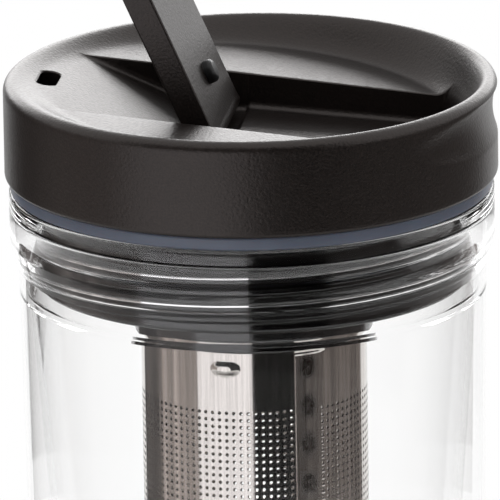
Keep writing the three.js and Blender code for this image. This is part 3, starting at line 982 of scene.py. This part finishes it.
# Infuser basket: a rolled sheet with a lap seam, punched in rows, hung from a black collar
wallLow, wallHigh = boxMm("basket_wall")
collarLow, collarHigh = boxMm("basket_collar")
panLow, panHigh = boxMm("basket_base")
basket = {
    "radius": 19.6,
    "sheet": 0.4,
    "rolledShare": 0.9995,
    "lapWidth": 4.41,
    "lapStep": 0.4,
    "lapRamp": 1.7,
    "lapSteps": 8,
    "lapStart": math.radians(-61.4),
    "columns": 94,
    "rows": 82,
    "rowsInPiece": 41,
    "hole": 0.7,
    "holeCorners": 8,
    "cellMerge": 0.002,
    "firstRow": lidTop - 54.8,
    "bandSteps": 300,
    "bandRow": 0.35,
    "hemRow": 1,
    "bumpWidth": 5.2,
    "bumpHeight": 2.7,
    "bumpReach": 0.75,
    "bumpFlat": 0.45,
    "bumpPower": 2.4,
    "bumpTurn": math.radians(-97),
    "bumpZ": collarLow.z - 1.7,
    "weldPitch": 7.1,
    "weldWidth": 3.8,
    "weldHeight": 5.4,
    "weldCore": 0.5,
    "weldFade": 1.1,
    "firstWeld": lidTop - 46.8,
    "collar": 20.6,
    "collarRise": 1.3,
    "collarLedge": 2,
    "collarEdge": 0.4,
    "collarHem": 0.3,
    "collarBore": 0.2,
    "collarSteps": 128,
    "tuckFrom": 1,
    "tuckTo": 0.2,
    "panFloor": 12,
    "panGutter": 14,
    "panRise": 0.9,
    "panBend": 1,
    "panRound": 1.2,
    "panSteps": 96,
}
lapTurn = basket["lapWidth"] / basket["radius"]
sheetTurn = fullTurn * basket["rolledShare"]
cellTurn = (sheetTurn - lapTurn) / basket["columns"]
cellPitch = cellTurn * basket["radius"]
collarFoot = collarLow.z + basket["collarRise"]
seamSlack = 0.001


# signed turn from a direction to a vertex
def turnFrom(direction, v):
    return (math.atan2(v.co.y, v.co.x) - direction + math.pi) % fullTurn - math.pi


# lifts the outer end of the sheet over its inner end, presses the bumps out and marks the spot welds
def shapeSheet(bm):
    b = basket
    welds = bm.verts.layers.float.new("weld")
    for v in bm.verts:
        along = (math.atan2(v.co.y, v.co.x) - b["lapStart"] + seamSlack) % fullTurn - seamSlack
        lift = b["lapStep"] * (1 - smooth(lapTurn, lapTurn * b["lapRamp"], along))
        lift *= 1 - smooth(collarFoot - b["tuckFrom"], collarFoot - b["tuckTo"], v.co.z)
        aside = (along - lapTurn / 2) * b["radius"] * 2 / b["weldWidth"]
        up = (v.co.z - b["firstWeld"]) / b["weldPitch"]
        up = (up - round(up)) * b["weldPitch"] * 2 / b["weldHeight"]
        v[welds] = 1 - smooth(b["weldCore"], b["weldFade"], math.hypot(aside, up))
        for opposite in (0, math.pi):
            across = abs(turnFrom(b["bumpTurn"] + opposite, v)) * b["radius"] * 2 / b["bumpWidth"]
            up = abs(v.co.z - b["bumpZ"]) * 2 / b["bumpHeight"]
            away = (across ** b["bumpPower"] + up ** b["bumpPower"]) ** (1 / b["bumpPower"])
            lift += b["bumpReach"] * (1 - smooth(b["bumpFlat"], 1, away))
        v.co.x *= 1 + lift / b["radius"]
        v.co.y *= 1 + lift / b["radius"]


def thicken(piece):
    wall = piece.modifiers.new("sheet", "SOLIDIFY")
    wall.thickness = basket["sheet"] * mm
    wall.offset = -1


def facesOut(face):
    middle = face.calc_center_median()
    return face.normal.dot(Vector((middle.x, middle.y, 0)))


def addSheet(name, bm):
    bmesh.ops.recalc_face_normals(bm, faces=bm.faces)
    if sum(facesOut(f) for f in bm.faces) < 0:
        bmesh.ops.reverse_faces(bm, faces=bm.faces)
    piece = addPiece(name, bm, "basket", ["basket_wall"], brightSteel)
    thicken(piece)
    workIn(piece)


# one square cell with its hole, repeated round the tube and then down it
def makePunchedSheet(name, topRow):
    bm = bmesh.new()
    bmesh.ops.create_grid(bm, x_segments=1, y_segments=1, size=cellPitch / 2)
    bmesh.ops.delete(bm, geom=bm.faces[:], context="FACES_ONLY")
    bmesh.ops.create_circle(bm, segments=basket["holeCorners"], radius=basket["hole"] / 2)
    bmesh.ops.bridge_loops(bm, edges=bm.edges[:])
    seam = basket["lapStart"] + lapTurn
    for v in bm.verts:
        turn = seam + cellTurn / 2 + v.co.x / basket["radius"]
        height = basket["firstRow"] - topRow * cellPitch + v.co.y
        v.co = (basket["radius"] * math.cos(turn), basket["radius"] * math.sin(turn), height)
    columns, rows = basket["columns"] - 1, basket["rowsInPiece"] - 1
    for angle, drop, steps in ((cellTurn * columns, 0, columns), (0, cellPitch, rows)):
        bmesh.ops.spin(
            bm, geom=bm.verts[:] + bm.edges[:] + bm.faces[:], angle=angle, dvec=(0, 0, -drop),
            steps=steps, use_duplicate=True, **aroundAxis,
        )
    bmesh.ops.remove_doubles(bm, verts=bm.verts, dist=basket["cellMerge"])
    ends = [v for v in bm.verts if abs(turnFrom(seam, v)) < seamSlack]
    strip = [e for e in bm.edges if e.is_boundary and all(v in ends for v in e.verts)]
    bmesh.ops.spin(bm, geom=strip, angle=-lapTurn, steps=basket["lapSteps"], **aroundAxis)
    shapeSheet(bm)
    addSheet(name, bm)


def makePlainBand(name, low, high, step):
    bm = bmesh.new()
    count = round((high - low) / step)
    heights = [low + (high - low) * k / count for k in range(count + 1)]
    verts = [bm.verts.new((basket["radius"], 0, height)) for height in heights]
    edges = [bm.edges.new(pair) for pair in zip(verts, verts[1:])]
    bmesh.ops.transform(bm, matrix=Matrix.Rotation(basket["lapStart"], 4, "Z"), verts=bm.verts)
    bmesh.ops.spin(bm, geom=verts + edges, angle=sheetTurn, steps=basket["bandSteps"], **aroundAxis)
    shapeSheet(bm)
    addSheet(name, bm)


punchedTop = basket["firstRow"] + cellPitch / 2
punchedLow = punchedTop - cellPitch * basket["rows"]
makePlainBand("basketBand", punchedTop, wallHigh.z, basket["bandRow"])
makePunchedSheet("basketSheetUpper", 0)
makePunchedSheet("basketSheetLower", basket["rowsInPiece"])
makePlainBand("basketHem", wallLow.z, punchedLow, basket["hemRow"])


def makeBasketCollar():
    b = basket
    top, ledge = collarHigh.z, wallHigh.z + fitGap
    outer, bore, mouth = b["collar"], b["radius"] + fitGap, b["radius"] - b["collarLedge"]
    corners = [
        (bore, collarFoot, b["collarBore"]),
        (outer, collarFoot, b["collarHem"]),
        (outer, top, b["collarEdge"]),
        (mouth, top, b["collarEdge"]),
        (mouth, ledge, b["collarBore"]),
        (bore, ledge, b["collarBore"]),
    ]
    bm = spun(roundedOutline(corners, arcSteps=4), b["collarSteps"])
    addPiece("basketCollar", bm, "basket", ["basket_collar"], blackGloss)


def makeBasketBase():
    b = basket
    low, rim = panLow.z, panHigh.x
    corners = [
        (0, low + b["panRise"], 0),
        (b["panFloor"], low + b["panRise"], b["panBend"]),
        (b["panGutter"], low, b["panBend"]),
        (rim, low, b["panRound"]),
        (rim, panHigh.z, 0),
    ]
    bm = spun(roundedOutline(corners), b["panSteps"], closed=False)
    thicken(addPiece("basketBase", bm, "basket", ["basket_base"], brightSteel))


makeBasketCollar()
makeBasketBase()
print("object built")

# Stage, in metres: a pale floor that fades into the white backdrop, two soft lamps,
# and cards that show only as reflections
stage = {
    "floorRadius": 0.36,
    "floorSteps": 96,
    "fadeFrom": 0.16,
    "fadeShare": 0.98,
    "floor": "#e9e9e8",
    "fill": 0.55,
    "lampAim": 0.17,
}


def makeFloor():
    bm = bmesh.new()
    bmesh.ops.create_circle(
        bm, cap_ends=True, segments=stage["floorSteps"], radius=stage["floorRadius"] / mm
    )
    floor = newObject("floor", bm)
    material, tree, shader, place = startMaterial(
        "white paper sweep", Base_Color=linear(stage["floor"]), Roughness=0.9
    )
    away = addNode(tree, "VectorMath", {0: place}, operation="LENGTH")
    fadeTo = stage["floorRadius"] * stage["fadeShare"]
    fade = addNode(
        tree, "MapRange",
        {"Value": away.outputs["Value"], "From Min": stage["fadeFrom"], "From Max": fadeTo},
        interpolation_type="SMOOTHSTEP",
    )
    glow = addNode(tree, "Emission", {"Color": (1, 1, 1, 1), "Strength": 1})
    mix = addNode(
        tree, "MixShader",
        {"Fac": fade.outputs["Result"], 1: shader.outputs["BSDF"], 2: glow.outputs["Emission"]},
    )
    tree.links.new(mix.outputs["Shader"], tree.nodes["Material Output"].inputs["Surface"])
    floor.data.materials.append(material)


# white wherever it is seen or mirrored, and less to what it lights
def makeBackdrop():
    world = bpy.data.worlds.new("white studio")
    bpy.context.scene.world = world
    world.use_nodes = True
    tree = world.node_tree
    rays = addNode(tree, "LightPath").outputs
    seen = addNode(tree, "Math", {0: rays["Is Camera Ray"], 1: rays["Is Glossy Ray"]}, operation="MAXIMUM")
    seen = addNode(tree, "Math", {0: seen.outputs[0], 1: rays["Is Transmission Ray"]}, operation="MAXIMUM")
    level = addNode(tree, "MapRange", {"Value": seen.outputs[0], "To Min": stage["fill"], "To Max": 1})
    backdrop = tree.nodes["Background"]
    backdrop.inputs["Color"].default_value = (1, 1, 1, 1)
    tree.links.new(level.outputs["Result"], backdrop.inputs["Strength"])


makeFloor()
makeBackdrop()

camera = {
    "azimuth": math.radians(8),
    "elevation": math.radians(16.4),
    "roll": math.radians(-0.92),
    "distance": 2.5,
    "aim": (lidTop - 31.5) * mm,
    "lens": 1032,
    "shift": -0.0054,
    "clipStart": 0.01,
}


def aimed(place, target, roll=0):
    look = Vector(target) - Vector(place)
    facing = look.to_track_quat("-Z", "Y").to_matrix().to_4x4()
    return Matrix.Translation(place) @ facing @ Matrix.Rotation(roll, 4, "Z")


def aroundObject(azimuth, elevation, distance, height):
    flat = distance * math.cos(elevation)
    return (flat * math.sin(azimuth), -flat * math.cos(azimuth), height + distance * math.sin(elevation))


cameraData = bpy.data.cameras.new("camera")
cameraData.lens = camera["lens"]
cameraData.shift_x = camera["shift"]
cameraData.clip_start = camera["clipStart"]
cameraObject = bpy.data.objects.new("camera", cameraData)
bpy.context.scene.collection.objects.link(cameraObject)
cameraPlace = aroundObject(camera["azimuth"], camera["elevation"], camera["distance"], camera["aim"])
cameraObject.matrix_world = aimed(cameraPlace, (0, 0, camera["aim"]), camera["roll"])
bpy.context.scene.camera = cameraObject


# azimuth and elevation are in degrees, from the front of the flask
def addLamp(name, azimuth, elevation, distance, width, height, power):
    data = bpy.data.lights.new(name, "AREA")
    data.shape = "RECTANGLE"
    data.size = width
    data.size_y = height
    data.energy = power
    lamp = bpy.data.objects.new(name, data)
    bpy.context.scene.collection.objects.link(lamp)
    place = aroundObject(math.radians(azimuth), math.radians(elevation), distance, stage["lampAim"])
    lamp.matrix_world = aimed(place, (0, 0, stage["lampAim"]))


addLamp("backLight", azimuth=188, elevation=17, distance=1.2, width=1.6, height=0.5, power=10)
addLamp("keyLight", azimuth=-23, elevation=-12, distance=1.3, width=1.3, height=1.1, power=2.6)

# Cards, in mm. The neck's walls mirror those above neckView, and the plain walls those below it.
cards = {
    "radius": 800,
    "steps": 24,
    "cloth": "#fff3ee",
    "brightCloth": "#fdfcff",
    "foldWidth": 140,
    "shadedFold": 0.35,
    "litFold": 0.65,
    "foot": -500,
    "neckView": -78,
    "top": 1000,
    "facesCrossed": 4,
    "facesAround": 3.5,
}


# A curved card between two azimuths, in degrees from the camera, and two heights.
# Rays that have met nothing but the clear walls pass through it to the backdrop,
# and if inWalls is False, so do those mirrored inside the walls, after 1 to 7 of their faces.
def addCard(name, turns, heights, level, stripes, tint=cards["cloth"], inWalls=True):
    first, last = (math.radians(turn) for turn in turns)
    bm = bmesh.new()
    ends = [bm.verts.new((0, -cards["radius"], height)) for height in heights]
    side = bm.edges.new(ends)
    bmesh.ops.spin(bm, geom=ends + [side], angle=last - first, steps=cards["steps"], **aroundAxis)
    toFirst = Matrix.Rotation(camera["azimuth"] + first, 4, "Z")
    bmesh.ops.transform(bm, matrix=toFirst, verts=bm.verts)
    card = newObject(name, bm)
    material, tree, shader, place = startMaterial(
        name + " cloth", Base_Color=(0, 0, 0, 1), Specular_IOR_Level=0, Emission_Color=linear(tint)
    )
    fold = grainScale(cards["foldWidth"])
    upright = addNode(tree, "Mapping", {"Vector": place, "Scale": (fold, fold, 0)})
    folds = addNode(tree, "TexNoise", {"Vector": upright.outputs["Vector"], "Scale": 1, "Detail": 3})
    glow = addNode(
        tree, "MapRange",
        {
            "Value": folds.outputs["Fac"],
            "From Min": cards["shadedFold"],
            "From Max": cards["litFold"],
            "To Min": level * (1 - stripes),
            "To Max": level * (1 + stripes),
        },
    )
    tree.links.new(glow.outputs["Result"], shader.inputs["Emission Strength"])
    rays = addNode(tree, "LightPath").outputs
    passed = addNode(tree, "Math", {0: rays["Glossy Depth"], 1: 0.5}, operation="LESS_THAN")
    if not inWalls:
        within = addNode(
            tree, "Math",
            {0: rays["Transmission Depth"], 1: cards["facesCrossed"], 2: cards["facesAround"]},
            operation="COMPARE",
        )
        passed = addNode(tree, "Math", {0: passed.outputs[0], 1: within.outputs[0]}, operation="MAXIMUM")
    clear = addNode(tree, "BsdfTransparent")
    mix = addNode(
        tree, "MixShader", {0: passed.outputs[0], 1: shader.outputs["BSDF"], 2: clear.outputs["BSDF"]}
    )
    tree.links.new(mix.outputs["Shader"], tree.nodes["Material Output"].inputs["Surface"])
    card.data.materials.append(material)
    for rayKind in ("camera", "diffuse", "shadow"):
        setattr(card, "visible_" + rayKind, False)


foot, neckView = cards["foot"], cards["neckView"]
addCard("softbox", (-59.3, -2.5), (foot, 250), 1.2, 0.06, cards["brightCloth"])
addCard("hood", (-59.3, -2.5), (250, cards["top"]), 0.1, 0.3)
addCard("rightCard", (-2.5, 40), (foot, cards["top"]), 0.003, 0.5)
addCard("cornerCard", (40, 85), (foot, 240), 0.09, 0.6)
for name, turns, top, level, lowLevel, stripes in (
    ("sideCard", (85, 138), 240, 0.15, 0.15, 0.6),
    ("leftCard", (-112, -59.3), 350, 0.42, 0.5, 0.6),
    ("farLeftCard", (-150, -112), 350, 0.09, 0.09, 0.4),
):
    addCard(name, turns, (neckView, top), level, stripes)
    addCard(name + "Low", turns, (foot, neckView), lowLevel, stripes, inWalls=False)
print("stage set")

bpy.context.scene.view_settings.view_transform = "Standard"
